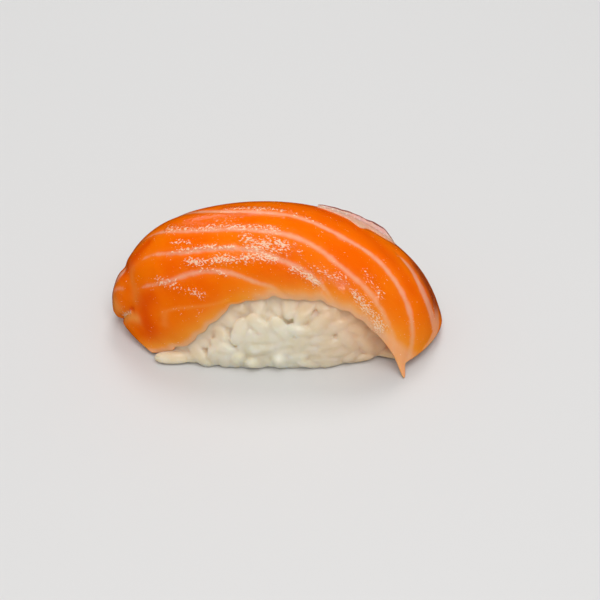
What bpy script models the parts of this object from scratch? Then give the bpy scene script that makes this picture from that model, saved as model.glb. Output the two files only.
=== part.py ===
"""Salmon nigiri: one slice of raw salmon draped over a pressed block of sushi rice.

The block lies along X and rests on z = 0. The slice is a thick sheet that follows three guide
lines over the block: its crest, its front edge and its back edge. Its left end lies close round
the block, its right end hangs free and ends in a drawn-out tip. The rice is a core with whole
grains fused on wherever it shows. Sizes are in millimetres and become metres in each mesh.
"""

import math

import bmesh
import bpy
import numpy as np
from mathutils import Matrix, Vector

MM = 0.001

# The slice. Each guide is (share of the slice's length, (x, y, z)) on its upper surface.
CREST = (
    (0.00, (-34.2, 1.0, 4.2)),
    (0.10, (-33.2, 1.8, 11.7)),
    (0.22, (-27.4, 2.2, 21.1)),
    (0.38, (-14.9, 1.6, 27.5)),
    (0.53, (-1.8, 0.8, 29.1)),
    (0.68, (12.0, -0.6, 26.9)),
    (0.82, (24.4, -1.2, 20.1)),
    (0.93, (32.6, -1.1, 11.0)),
    (1.00, (35.7, -1.2, 3.2)),
)
FRONT_EDGE = (
    (0.00, (-26.2, -8.9, 1.6)),
    (0.08, (-22.5, -9.6, 2.5)),
    (0.16, (-18.6, -10.5, 5.6)),
    (0.25, (-14.2, -10.9, 10.4)),
    (0.32, (-10.8, -10.6, 14.8)),
    (0.40, (-6.3, -10.3, 17.6)),
    (0.50, (0.0, -10.2, 18.5)),
    (0.60, (6.5, -10.4, 18.2)),
    (0.70, (13.0, -11.2, 16.9)),
    (0.80, (19.0, -12.6, 13.2)),
    (0.90, (23.3, -13.6, 8.3)),
    (1.00, (26.2, -14.4, 3.0)),
)
BACK_EDGE = (
    (0.00, (-31.2, 8.6, 5.0)),
    (0.12, (-26.4, 12.8, 9.0)),
    (0.30, (-16.0, 15.2, 15.5)),
    (0.53, (0.0, 15.8, 18.5)),
    (0.75, (17.0, 14.2, 16.0)),
    (0.90, (28.6, 10.2, 9.0)),
    (1.00, (33.8, 6.0, 3.0)),
)
# How round the slice bends from its crest to each edge: 0 is straight, 1 a quarter ellipse.
FRONT_ROUNDNESS = ((0, 0.2), (0.08, 0.6), (0.2, 0.95), (0.5, 0.9), (0.85, 0.8), (0.95, 0.6), (1, 0.3))
BACK_ROUNDNESS = ((0, 0.9), (0.5, 0.95), (1, 0.8))
THICKNESS_ACROSS = ((-1, 1.2), (-0.6, 3.9), (0, 5.2), (0.6, 4.6), (1, 2.4))
THICKNESS_ALONG = ((0, 0.8), (0.2, 1.0), (0.7, 1.0), (0.9, 0.65), (1, 0.45))
SLICE_STEPS_ALONG, SLICE_STEPS_ACROSS = 42, 18
RIM_BULGE = 0.35

# The lip that the slice's left end is pushed into: its middle at the end, how fast that moves to the
# front along the slice, its half sizes and the crease round it.
LIP_CENTRE, LIP_SLANT, LIP_REACH = 0.25, 2.8, (0.15, 0.47)
LIP_SWELL, CREASE_DEPTH, CREASE_WIDTH = 1.1, 0.7, 0.16
# The crease's depth grows from a least share to 1 towards its front, from this place on in half sizes.
CREASE_LEAST, CREASE_START = 0.4, 0.35
# The tip that the right end's front corner is drawn out into.
TIP_PULL, TIP_REACH = (0.9, -1.2, -2.5), (1.3, 0.8)

# The strip of silver skin that lifts off the slice's back shoulder.
SKIN_SPAN, SKIN_ROOT = (0.648, 0.837), 0.57
SKIN_HEIGHT = ((0, 0.4), (0.2, 0.7), (0.36, 0.8), (0.48, 0.9), (0.6, 0.95), (0.74, 1.1), (0.9, 0.8), (1, 0.2))
SKIN_THICKNESS, SKIN_STEPS = 0.6, 22
# How far its edge leans over, as a share of its height along each axis.
SKIN_LEAN = np.array([0.0, 0.25, 0.1])

# The block of rice: its middle, its half sizes and how square each outline is (2 is an ellipse).
CORE_CENTRE_X, CORE_HALF_LENGTH, CORE_HALF_WIDTH = -1.0, 27.9, 12.8
CORE_WAIST, CORE_RISE, CORE_DROP = 5.6, 20.5, 6.6
PLAN_POWER, PROFILE_POWER, TOP_POWER, FOOT_POWER = 2.8, 3.0, 2.0, 5.5
CORE_STEPS_ALONG, CORE_STEPS_ROUND = 26, 28
# The grains: their size, how far apart they lie and how many places are tried.
GRAIN_SIZE = (6.8, 3.1, 2.6)
GRAIN_SPACING, GRAIN_COVER, GRAIN_TRIES, GRAIN_SEED = 2.9, 2.5, 5000, 11
# How deep the grains lie in the block, and how much deeper those next to the slice's edge do.
GRAIN_SINK, EDGE_SINK, EDGE_REACH = (-0.1, 0.4), 1.0, 2.6
# Grains that come this near to the floor are pressed flat on it.
FOOT_PRESS = 0.6
# One grain that lies by itself at the foot of the left end: its middle and its long direction.
LOOSE_GRAIN, LOOSE_GRAIN_WAY = (-22.8, -10.9, 1.4), (1.0, -0.12, 0.0)
SLICE_GAP, SLICE_MARGIN, SLICE_ROOM = 0.3, 0.06, 3.0

SALMON_COLOUR = (0.80, 0.13, 0.012, 1)
RICE_COLOUR = (0.74, 0.69, 0.58, 1)


def through(points, places):
    """The natural cubic curve through (place, value) pairs, read at the given places."""
    knots = np.array([p for p, _ in points], float)
    values = np.array([np.atleast_1d(v) for _, v in points], float)
    gaps = np.diff(knots)
    slopes = np.diff(values, axis=0) / gaps[:, None]
    system, right = np.eye(len(knots)), np.zeros_like(values)
    for i in range(1, len(knots) - 1):
        system[i, i - 1 : i + 2] = gaps[i - 1], 2 * (gaps[i - 1] + gaps[i]), gaps[i]
        right[i] = 3 * (slopes[i] - slopes[i - 1])
    bend = np.linalg.solve(system, right)
    places = np.asarray(places, float)
    i = np.clip(np.searchsorted(knots, places) - 1, 0, len(gaps) - 1)
    step, gap = (places - knots[i])[..., None], gaps[i][..., None]
    slope = slopes[i] - gap * (2 * bend[i] + bend[i + 1]) / 3
    cube = (bend[i + 1] - bend[i]) / (3 * gap)
    curve = values[i] + step * (slope + step * (bend[i] + step * cube))
    return curve[..., 0] if values.shape[1] == 1 else curve


def draped(crest, edge, roundness, share):
    """From the crest, share 0, out sideways and then down to the edge, share 1."""
    turn, bulge = share * math.pi / 2, roundness[:, None]
    out = (1 - bulge) * share + bulge * np.sin(turn)
    down = (1 - bulge) * share**1.4 + bulge * (1 - np.cos(turn))
    reach = (edge - crest)[:, None, :]
    return crest[:, None, :] + reach * np.stack([down, out, down], -1)


def outward(surface):
    """The unit normals of a grid of points, pointing away from the rice."""
    across = np.cross(np.gradient(surface, axis=0), np.gradient(surface, axis=1))
    return across / np.linalg.norm(across, axis=-1, keepdims=True)


def slice_base(along, across):
    """The slice's upper surface before its lip, crease and tip. along runs 0 to 1 from the left end,
    across -1 to 1 from the front edge."""
    crest = through(CREST, along)
    side = np.abs(across)[None, :]
    front = draped(crest, through(FRONT_EDGE, along), through(FRONT_ROUNDNESS, along), side)
    back = draped(crest, through(BACK_EDGE, along), through(BACK_ROUNDNESS, along), side)
    return np.where((across < 0)[None, :, None], front, back)


def lip_height(along, across):
    """How far the lip and its crease stand out of the base surface. The crease is deepest at the front."""
    from_middle = (across[None, :] - LIP_CENTRE + LIP_SLANT * along[:, None]) / LIP_REACH[1]
    lip = np.hypot(along[:, None] / LIP_REACH[0], from_middle)
    front = np.clip(CREASE_START - from_middle, CREASE_LEAST, 1)
    crease = CREASE_DEPTH * front * np.exp(-(((lip - 1) / CREASE_WIDTH) ** 2))
    return LIP_SWELL * np.clip(1 - lip**2, 0, 1) - crease


def tip_pull(base):
    """How far each point near the right end's front corner is drawn out."""
    from_end = np.linalg.norm(base - base[-1:], axis=-1) / TIP_REACH[0]
    from_front = np.linalg.norm(base - base[:, :1], axis=-1) / TIP_REACH[1]
    return np.exp(-(from_end**2) - from_front**2)[..., None] * np.array(TIP_PULL)


def slice_top(along, across):
    """The slice's upper surface with its lip, crease and tip."""
    base = slice_base(along, across)
    return base + outward(base) * lip_height(along, across)[..., None] + tip_pull(base)


def slice_under(along, across, gap=0):
    """The slice's lower surface, or one that lies a gap below it."""
    base = slice_base(along, across)
    thickness = np.outer(through(THICKNESS_ALONG, along), through(THICKNESS_ACROSS, across))
    return base - outward(base) * (thickness + gap)[..., None] + tip_pull(base)


def grid_faces(rows, columns):
    """The quads of a grid of points, numbered row by row."""
    corner = (np.arange(rows - 1)[:, None] * columns + np.arange(columns - 1)).ravel()
    return np.stack([corner, corner + columns, corner + columns + 1, corner + 1], -1)


def border(rows, columns):
    """The grid's outer points in order: up the first column, and round."""
    index = np.arange(rows * columns).reshape(rows, columns)
    return np.concatenate([index[:-1, 0], index[-1, :-1], index[:0:-1, -1], index[0, :0:-1]])


def sheet_between(upper, lower, bulge):
    """Points and faces of the closed sheet between two grids. Its rim stands out by bulge times its thickness."""
    rows, columns = upper.shape[:2]
    size = rows * columns
    edge = border(rows, columns)
    top, bottom = upper.reshape(-1, 3), lower.reshape(-1, 3)
    middle = (top[edge] + bottom[edge]) / 2
    wall = top[edge] - bottom[edge]
    run = np.roll(middle, -1, axis=0) - np.roll(middle, 1, axis=0)
    out = np.cross(run, wall)
    out /= np.linalg.norm(out, axis=1, keepdims=True)
    rim = middle + out * np.linalg.norm(wall, axis=1, keepdims=True) * bulge
    points = np.concatenate([top, bottom, rim])

    quads = grid_faces(rows, columns)
    ring = np.arange(len(edge)) + 2 * size
    after, ring_after = np.roll(edge, -1), np.roll(ring, -1)
    upper_rim = np.stack([edge, ring, ring_after, after], -1)
    lower_rim = np.stack([ring, edge + size, after + size, ring_after], -1)
    return points, np.concatenate([quads, quads[:, ::-1] + size, upper_rim, lower_rim])


def add_object(name, points, faces, material=None):
    """A closed mesh object from points in millimetres, its faces turned outwards."""
    mesh = bpy.data.meshes.new(name)
    mesh.from_pydata((np.asarray(points) * MM).tolist(), [], [list(map(int, face)) for face in faces])
    shell = bmesh.new()
    shell.from_mesh(mesh)
    bmesh.ops.triangulate(shell, faces=shell.faces)
    bmesh.ops.recalc_face_normals(shell, faces=shell.faces)
    shell.to_mesh(mesh)
    shell.free()
    obj = bpy.data.objects.new(name, mesh)
    bpy.context.scene.collection.objects.link(obj)
    if material:
        mesh.materials.append(material)
    return obj


def food_material(name, colour, roughness):
    material = bpy.data.materials.new(name)
    material.use_nodes = True
    shader = material.node_tree.nodes["Principled BSDF"]
    shader.inputs["Base Color"].default_value = colour
    shader.inputs["Roughness"].default_value = roughness
    shader.inputs["Metallic"].default_value = 0
    return material


def combine(obj, operation, others):
    """Applies one Boolean between obj and a list of objects, then removes the others."""
    helpers = bpy.data.collections.new("helpers")
    bpy.context.scene.collection.children.link(helpers)
    for other in others:
        helpers.objects.link(other)
    boolean = obj.modifiers.new(operation, "BOOLEAN")
    boolean.operation = operation
    boolean.solver = "EXACT"
    boolean.operand_type = "COLLECTION"
    boolean.collection = helpers
    graph = bpy.context.evaluated_depsgraph_get()
    result = bpy.data.meshes.new_from_object(obj.evaluated_get(graph))
    obj.modifiers.clear()
    obj.data = result
    for other in others:
        bpy.data.objects.remove(other)
    bpy.data.collections.remove(helpers)


def keep_largest_shell(obj):
    """Drops loose scraps and fills sealed hollows: only the shell with the most faces stays."""
    shell = bmesh.new()
    shell.from_mesh(obj.data)
    unseen, shells = set(shell.verts), []
    while unseen:
        reached, found = [unseen.pop()], []
        while reached:
            vert = reached.pop()
            found.append(vert)
            near = {edge.other_vert(vert) for edge in vert.link_edges} & unseen
            unseen -= near
            reached.extend(near)
        shells.append(found)
    shells.sort(key=len)
    bmesh.ops.delete(shell, geom=[v for found in shells[:-1] for v in found], context="VERTS")
    shell.to_mesh(obj.data)
    shell.free()


def skin_strip():
    """The thin torn strip that stands up from the back shoulder, rooted inside the slice."""
    along = np.linspace(*SKIN_SPAN, SKIN_STEPS)
    across = np.array([SKIN_ROOT - 0.06, SKIN_ROOT, SKIN_ROOT + 0.06])
    shoulder = slice_top(along, across)
    up = outward(shoulder)[:, 1]
    root = shoulder[:, 1]
    height = through(SKIN_HEIGHT, np.linspace(0, 1, SKIN_STEPS))[:, None]
    rows = [root - up, root + (up + SKIN_LEAN * 0.4) * height * 0.5, root + (up + SKIN_LEAN) * height]
    middle = np.stack(rows, 1)
    side = outward(middle) * SKIN_THICKNESS / 2
    side *= np.array([1.0, 1.0, 0.4])[None, :, None]
    return sheet_between(middle + side, middle - side, 0.1)


def build_slice(material):
    along = np.linspace(0, 1, SLICE_STEPS_ALONG + 1)
    across = np.linspace(-1, 1, SLICE_STEPS_ACROSS + 1)
    sheet = sheet_between(slice_top(along, across), slice_under(along, across), RIM_BULGE)
    salmon = add_object("salmon_slice", *sheet, material)
    combine(salmon, "UNION", [add_object("skin", *skin_strip())])
    keep_largest_shell(salmon)
    return salmon


def room_for_slice():
    """A cutter: the slice grown by the gap and the margin, with its upper side raised clear of the grains."""
    along = np.linspace(-SLICE_MARGIN / 3, 1 + SLICE_MARGIN / 3, 31)
    across = np.linspace(-1 - SLICE_MARGIN, 1 + SLICE_MARGIN, 15)
    base = slice_base(along, across)
    sheet = sheet_between(base + outward(base) * SLICE_ROOM, slice_under(along, across, SLICE_GAP), 0)
    return add_object("room", *sheet)


def core_surface(along, turn):
    """Points on the bare block. along runs -1 to 1; turn goes from the front over the top and back under."""
    slim = np.clip(1 - np.abs(along) ** PLAN_POWER, 0, 1) ** (1 / PLAN_POWER)
    low = np.clip(1 - np.abs(along) ** PROFILE_POWER, 0, 1) ** (1 / PROFILE_POWER)
    out, rise = np.cos(turn), np.sin(turn)
    power = np.where(rise > 0, 2 / TOP_POWER, 2 / FOOT_POWER)
    height = np.where(rise > 0, CORE_RISE, CORE_DROP)
    x = CORE_CENTRE_X + CORE_HALF_LENGTH * along + 0 * turn
    y = -CORE_HALF_WIDTH * slim * np.sign(out) * np.abs(out) ** power
    z = CORE_WAIST + height * low * np.sign(rise) * np.abs(rise) ** power
    return np.stack([x, y, np.maximum(z, 0)], -1)


def core_frame(along, turn):
    """Points on the block with two unit directions along its surface and the one out of it."""
    step = 0.004
    place = core_surface(along, turn)
    run = core_surface(along + step, turn) - core_surface(along - step, turn)
    loop = core_surface(along, turn + step) - core_surface(along, turn - step)
    out = np.cross(run, loop)
    run /= np.linalg.norm(run, axis=-1, keepdims=True)
    out /= np.linalg.norm(out, axis=-1, keepdims=True) + 1e-9
    return place, run, np.cross(out, run), out


def build_core(material):
    """The bare block: rings of points round the X axis, closed by a fan at each end."""
    places = np.sin(np.linspace(-1, 1, CORE_STEPS_ALONG + 1) * math.pi / 2)
    turns = np.arange(CORE_STEPS_ROUND) * 2 * math.pi / CORE_STEPS_ROUND
    along, turn = np.meshgrid(places[1:-1], turns, indexing="ij")
    rings, sides = along.shape
    ends = core_surface(places[[0, -1]], np.zeros(2))
    points = np.concatenate([core_surface(along, turn).reshape(-1, 3), ends])
    index = np.arange(rings * sides).reshape(rings, sides)
    index = np.concatenate([index, index[:, :1]], 1)
    quads = np.stack([index[:-1, :-1], index[1:, :-1], index[1:, 1:], index[:-1, 1:]], -1)
    faces = quads.reshape(-1, 4).tolist()
    for ring, apex in ((index[0], rings * sides), (index[-1], rings * sides + 1)):
        faces += [(a, b, apex) for a, b in zip(ring[:-1], ring[1:])]
    return add_object("rice_block", points, faces, material)


def grain_mesh():
    """One grain, six-sided, as points along X from -1 to 1 with its faces."""
    rings = ((-0.62, 0.8), (0.02, 1.0), (0.64, 0.76))
    points = [(-1, 0, 0), (1, 0, 0)]
    for x, reach in rings:
        points += [(x, reach * math.cos(k * math.pi / 3), reach * math.sin(k * math.pi / 3)) for k in range(6)]
    faces = []
    for k in range(6):
        here, after = 2 + k, 2 + (k + 1) % 6
        faces += [(0, after, here), (1, here + 12, after + 12)]
        faces += [(here, after, after + 6, here + 6), (here + 6, after + 6, after + 12, here + 12)]
    return np.array(points, float), faces


def spread_grains():
    """Grains laid on the block: tried at evenly spread places, each kept if no earlier one is too near."""
    draw = np.random.default_rng(GRAIN_SEED)
    number = np.arange(GRAIN_TRIES) + 0.5
    along = 2 * (number * 0.7548776662 % 1) - 1
    turn = 2 * math.pi * (number * 0.5698402910 % 1)
    place, run, loop, out = core_frame(along * 0.985, turn)
    angle = draw.uniform(0, math.pi, (GRAIN_TRIES, 1))
    tilt = draw.normal(0, 0.2, (GRAIN_TRIES, 1))
    long_way = run * np.cos(angle) + loop * np.sin(angle) + out * tilt
    long_way /= np.linalg.norm(long_way, axis=1, keepdims=True)
    broad_way = np.cross(out, long_way)
    broad_way /= np.linalg.norm(broad_way, axis=1, keepdims=True)
    size = draw.uniform(0.88, 1.1, (GRAIN_TRIES, 1)) * np.array(GRAIN_SIZE) / 2
    slice_points = slice_under(np.linspace(0, 1, 81), np.linspace(-1, 1, 41))
    edges = slice_base(np.linspace(0, 1, 81), np.array([-1.0, 1.0])).reshape(-1, 3)
    from_edge = np.array([np.linalg.norm(edges - p, axis=1).min() for p in place])[:, None]
    sink = draw.uniform(*GRAIN_SINK, (GRAIN_TRIES, 1)) + EDGE_SINK * np.exp(-((from_edge / EDGE_REACH) ** 2))
    place = place - out * sink

    kept = []
    for i in range(GRAIN_TRIES):
        clear = all(np.linalg.norm(place[i] - place[j]) > GRAIN_SPACING for j in kept)
        if clear and out[i, 2] > -0.8 and place[i, 2] > 0.4 and not covered(place[i], slice_points):
            kept.append(i)
    axes = np.stack([long_way, broad_way, np.cross(long_way, broad_way)], 1)
    return [(place[i], axes[i] * size[i][:, None]) for i in kept]


def covered(place, slice_points):
    """Whether the slice lies close over a place, away from the slice's edges."""
    far = np.linalg.norm(slice_points - place, axis=-1)
    row, column = np.unravel_index(far.argmin(), far.shape)
    inside = slice_points[row, column, 2] < place[2] + 0.5
    return 2 <= row <= 78 and 2 <= column <= 38 and (inside or far.min() < GRAIN_COVER)


def build_rice(material):
    points, faces = grain_mesh()
    loose_way = np.array(LOOSE_GRAIN_WAY) / np.linalg.norm(LOOSE_GRAIN_WAY)
    loose_axes = np.array([loose_way, np.cross((0, 0, 1), loose_way), (0, 0, 1)])
    loose = np.array(LOOSE_GRAIN), loose_axes * np.array(GRAIN_SIZE)[:, None] / 2
    grains = []
    for place, axes in spread_grains() + [loose]:
        placed = place + points @ axes
        placed[:, 2] += max(0, -placed[:, 2].min())
        placed[placed[:, 2] < FOOT_PRESS, 2] = 0
        grains.append(add_object("grain", placed, faces))
    rice = build_core(material)
    combine(rice, "UNION", grains)
    combine(rice, "DIFFERENCE", [room_for_slice()])
    keep_largest_shell(rice)
    return rice


def settle(objects):
    """Moves all pieces so that the whole stands on z = 0 with its middle over the origin."""
    corners = np.array([v.co for obj in objects for v in obj.data.vertices])
    low, high = corners.min(0), corners.max(0)
    shift = Vector((-(low[0] + high[0]) / 2, -(low[1] + high[1]) / 2, -low[2]))
    for obj in objects:
        obj.data.transform(Matrix.Translation(shift))


def main():
    for obj in list(bpy.data.objects):
        bpy.data.objects.remove(obj)
    salmon = build_slice(food_material("salmon", SALMON_COLOUR, 0.3))
    rice = build_rice(food_material("rice", RICE_COLOUR, 0.45))
    settle([salmon, rice])


main()
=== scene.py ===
"""Looks of one salmon nigiri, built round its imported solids.

Lengths are in millimetres until a mesh is made."""
import math

import bpy
import numpy as np
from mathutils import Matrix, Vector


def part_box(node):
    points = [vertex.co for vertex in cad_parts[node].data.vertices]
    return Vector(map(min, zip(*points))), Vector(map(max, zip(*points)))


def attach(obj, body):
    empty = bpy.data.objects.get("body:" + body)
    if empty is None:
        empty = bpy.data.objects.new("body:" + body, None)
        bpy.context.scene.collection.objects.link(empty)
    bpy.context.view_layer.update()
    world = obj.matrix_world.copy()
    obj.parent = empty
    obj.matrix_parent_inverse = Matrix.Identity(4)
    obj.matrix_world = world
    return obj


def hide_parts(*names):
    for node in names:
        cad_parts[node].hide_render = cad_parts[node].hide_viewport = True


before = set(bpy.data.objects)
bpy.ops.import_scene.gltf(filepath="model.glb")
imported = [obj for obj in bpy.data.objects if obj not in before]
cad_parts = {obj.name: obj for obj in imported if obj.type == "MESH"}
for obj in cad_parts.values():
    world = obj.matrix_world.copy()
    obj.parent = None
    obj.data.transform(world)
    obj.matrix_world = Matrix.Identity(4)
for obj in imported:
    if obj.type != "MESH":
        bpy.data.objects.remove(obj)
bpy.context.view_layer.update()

# Slice of salmon, its shape
# One long slice cut across the fillet, about 5 mm thick in the middle and thinner at its edges.
# It is laid over the rice, follows its rounded top, and hangs free at its right end.
MM = 0.001
CREST = (
    (0.00, (-34.2, 1.0, 4.2)),
    (0.10, (-33.2, 1.8, 11.7)),
    (0.22, (-27.4, 2.2, 21.1)),
    (0.38, (-14.9, 1.6, 27.5)),
    (0.53, (-1.8, 0.8, 29.1)),
    (0.68, (12.0, -0.6, 26.9)),
    (0.82, (24.4, -1.2, 20.1)),
    (0.93, (32.6, -1.1, 11.0)),
    (1.00, (35.7, -1.2, 3.2)),
)
FRONT_EDGE = (
    (0.00, (-26.2, -8.9, 1.6)),
    (0.08, (-22.5, -9.6, 2.5)),
    (0.16, (-18.6, -10.5, 5.6)),
    (0.25, (-14.2, -10.9, 10.4)),
    (0.32, (-10.8, -10.6, 14.8)),
    (0.40, (-6.3, -10.3, 17.6)),
    (0.50, (0.0, -10.2, 18.5)),
    (0.60, (6.5, -10.4, 18.2)),
    (0.70, (13.0, -11.2, 16.9)),
    (0.80, (19.0, -12.6, 13.2)),
    (0.90, (23.3, -13.6, 8.3)),
    (1.00, (26.2, -14.4, 3.0)),
)
BACK_EDGE = (
    (0.00, (-31.2, 8.6, 5.0)),
    (0.12, (-26.4, 12.8, 9.0)),
    (0.30, (-16.0, 15.2, 15.5)),
    (0.53, (0.0, 15.8, 18.5)),
    (0.75, (17.0, 14.2, 16.0)),
    (0.90, (28.6, 10.2, 9.0)),
    (1.00, (33.8, 6.0, 3.0)),
)
FRONT_ROUNDNESS = ((0, 0.2), (0.08, 0.6), (0.2, 0.95), (0.5, 0.9), (0.85, 0.8), (0.95, 0.6), (1, 0.3))
BACK_ROUNDNESS = ((0, 0.9), (0.5, 0.95), (1, 0.8))
THICKNESS_ACROSS = ((-1, 1.2), (-0.6, 3.9), (0, 5.2), (0.6, 4.6), (1, 2.4))
THICKNESS_ALONG = ((0, 0.8), (0.2, 1.0), (0.7, 1.0), (0.9, 0.65), (1, 0.45))
LIP_CENTRE, LIP_SLANT, LIP_REACH = 0.25, 2.8, (0.15, 0.47)
LIP_SWELL, CREASE_DEPTH, CREASE_WIDTH = 1.1, 0.7, 0.16
CREASE_START, CREASE_LEAST = 0.35, 0.4
TIP_PULL, TIP_REACH = (0.9, -1.2, -2.5), (1.3, 0.8)
SLICE_GRID, RIM_BULGE, RIM_RINGS = (310, 136), 0.35, 5
# Length along the crest and half of the width across, for the materials' coordinates.
SLICE_LENGTH, SLICE_HALF_WIDTH = 94, 18
# From the origin of the numbers above to the frame's, which is under the middle of the solids' box.
slice_low, slice_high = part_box("salmon_slice")
SHIFT = np.array([
    slice_high[0] / MM - CREST[-1][1][0],
    slice_low[1] / MM - FRONT_EDGE[-1][1][1] - TIP_PULL[1],
    0.0,
])


def through(points, places):
    """Natural cubic spline: between two knots the value is a cubic, and slope and bend go on smoothly
    from each cubic to the next."""
    knots = np.array([p for p, _ in points], float)
    values = np.array([np.atleast_1d(v) for _, v in points], float)
    gaps = np.diff(knots)
    slopes = np.diff(values, axis=0) / gaps[:, None]
    system, right = np.eye(len(knots)), np.zeros_like(values)
    for i in range(1, len(knots) - 1):
        system[i, i - 1 : i + 2] = gaps[i - 1], 2 * (gaps[i - 1] + gaps[i]), gaps[i]
        right[i] = 3 * (slopes[i] - slopes[i - 1])
    bend = np.linalg.solve(system, right)
    places = np.asarray(places, float)
    i = np.clip(np.searchsorted(knots, places) - 1, 0, len(gaps) - 1)
    step, gap = (places - knots[i])[..., None], gaps[i][..., None]
    slope = slopes[i] - gap * (2 * bend[i] + bend[i + 1]) / 3
    cube = (bend[i + 1] - bend[i]) / (3 * gap)
    curve = values[i] + step * (slope + step * (bend[i] + step * cube))
    return curve[..., 0] if values.shape[1] == 1 else curve


def draped(crest, edge, roundness, share):
    """Crest plus (edge - crest) times a share: sideways a sine, downwards one minus a cosine, mixed by
    the roundness with the share itself and with its power of 1.4."""
    turn, bulge = share * math.pi / 2, roundness[:, None]
    out = (1 - bulge) * share + bulge * np.sin(turn)
    down = (1 - bulge) * share**1.4 + bulge * (1 - np.cos(turn))
    reach = (edge - crest)[:, None, :]
    return crest[:, None, :] + reach * np.stack([down, out, down], -1)


def outward(surface):
    """Cross product of a grid's two directions, made one unit long."""
    across = np.cross(np.gradient(surface, axis=0), np.gradient(surface, axis=1))
    return across / np.linalg.norm(across, axis=-1, keepdims=True)


def slice_base(along, across):
    """The draped sheet: u is 0 to 1 along the crest, v is -1 at the front edge and 1 at the back."""
    crest = through(CREST, along)
    side = np.abs(across)[None, :]
    front = draped(crest, through(FRONT_EDGE, along), through(FRONT_ROUNDNESS, along), side)
    back = draped(crest, through(BACK_EDGE, along), through(BACK_ROUNDNESS, along), side)
    return np.where((across < 0)[None, :, None], front, back)


def tip_pull(base):
    """A fixed pull times a Gaussian of the distances to the right end and to the front edge."""
    from_end = np.linalg.norm(base - base[-1:], axis=-1) / TIP_REACH[0]
    from_front = np.linalg.norm(base - base[:, :1], axis=-1) / TIP_REACH[1]
    return np.exp(-(from_end**2) - from_front**2)[..., None] * np.array(TIP_PULL)


def lip_height(along, across):
    """A parabola inside a slanted ellipse in (u, v), less a Gaussian groove along the ellipse, which is
    deepest at the front."""
    from_middle = across[None, :] - LIP_CENTRE + LIP_SLANT * along[:, None]
    lip = np.hypot(along[:, None] / LIP_REACH[0], from_middle / LIP_REACH[1])
    front = np.clip(CREASE_START - from_middle / LIP_REACH[1], CREASE_LEAST, 1)
    crease = CREASE_DEPTH * front * np.exp(-(((lip - 1) / CREASE_WIDTH) ** 2))
    return LIP_SWELL * np.clip(1 - lip**2, 0, 1) - crease


def slice_thickness(along, across):
    """Thickness across times a share along."""
    return np.outer(through(THICKNESS_ALONG, along), through(THICKNESS_ACROSS, across))


# Fat lines: half width in millimetres at the line's start and end, then v as a smooth curve of u.
# A half width below 0 lets the line fade in.
FAT_LINES = (
    (0.10, 0.50, ((0.15, 0.64), (0.22, 0.545), (0.30, 0.435), (0.34, 0.36), (0.405, 0.243),
                  (0.461, 0.196), (0.515, 0.176), (0.566, 0.166), (0.605, 0.143), (0.653, 0.088),
                  (0.70, 0.03), (0.76, -0.05), (0.83, -0.247), (0.86, -0.36), (0.915, -0.571),
                  (1.0, -0.88))),
    (-0.3, 0.46, ((0.15, 0.27), (0.20, 0.20), (0.26, 0.118), (0.311, 0.018), (0.355, -0.037),
                  (0.397, -0.068), (0.437, -0.085), (0.477, -0.10), (0.516, -0.115), (0.554, -0.138),
                  (0.591, -0.168), (0.616, -0.205), (0.652, -0.29), (0.71, -0.45), (0.78, -0.59),
                  (0.834, -0.739), (0.90, -0.882), (0.94, -1.0))),
    (-0.7, 0.42, ((0.17, -0.125), (0.20, -0.136), (0.23, -0.15), (0.26, -0.19), (0.298, -0.25),
                  (0.332, -0.29), (0.369, -0.311), (0.402, -0.326), (0.434, -0.339), (0.469, -0.364),
                  (0.507, -0.408), (0.532, -0.455), (0.557, -0.501), (0.583, -0.547), (0.609, -0.60),
                  (0.636, -0.692), (0.66, -0.80), (0.69, -0.97))),
    (-0.3, 0.42, ((0.16, -0.34), (0.19, -0.386), (0.229, -0.446), (0.26, -0.48), (0.292, -0.501),
                  (0.323, -0.518), (0.352, -0.541), (0.38, -0.57), (0.406, -0.607), (0.431, -0.661),
                  (0.454, -0.728), (0.479, -0.787), (0.505, -0.842), (0.54, -1.0))),
    (-0.5, 0.95, ((0.83, 0.24), (0.844, 0.19), (0.867, 0.12), (0.883, 0.03), (0.90, -0.07),
                  (0.92, -0.14), (0.94, -0.19), (0.965, -0.24), (1.0, -0.30))),
    (0.10, 0.50, ((0.20, 0.97), (0.34, 0.88), (0.50, 0.80), (0.64, 0.72), (0.73, 0.60), (0.78, 0.52))),
    (0.10, 0.50, ((0.58, 0.97), (0.70, 0.88), (0.82, 0.76), (0.90, 0.66), (0.96, 0.62))),
    (0.9, 1.2, ((0.955, -0.04), (0.975, -0.14), (0.987, -0.26), (1.0, -0.44))),
    (0.40, 0.10, ((0.03, -0.02), (0.09, -0.078), (0.118, -0.186))),
    (0.80, 0.80, ((0.07, 0.04), (0.10, 0.04), (0.13, 0.02))),
)
# Relief between the fat lines: its height, how far inside a line's edge it starts to rise, and the
# width of the rise. It fades out near the slice's edges and ends, over these shares of v and u.
RELIEF_HEIGHT, RELIEF_START, RELIEF_RISE = 0.14, 0.4, 1.3
EDGE_FADE, END_FADE = 0.06, 0.03
# A fat line's width changes fast at first, at this rate. Lines further off than FAR don't count.
WIDTH_RATE, FAR = 8, 9.0
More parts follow.
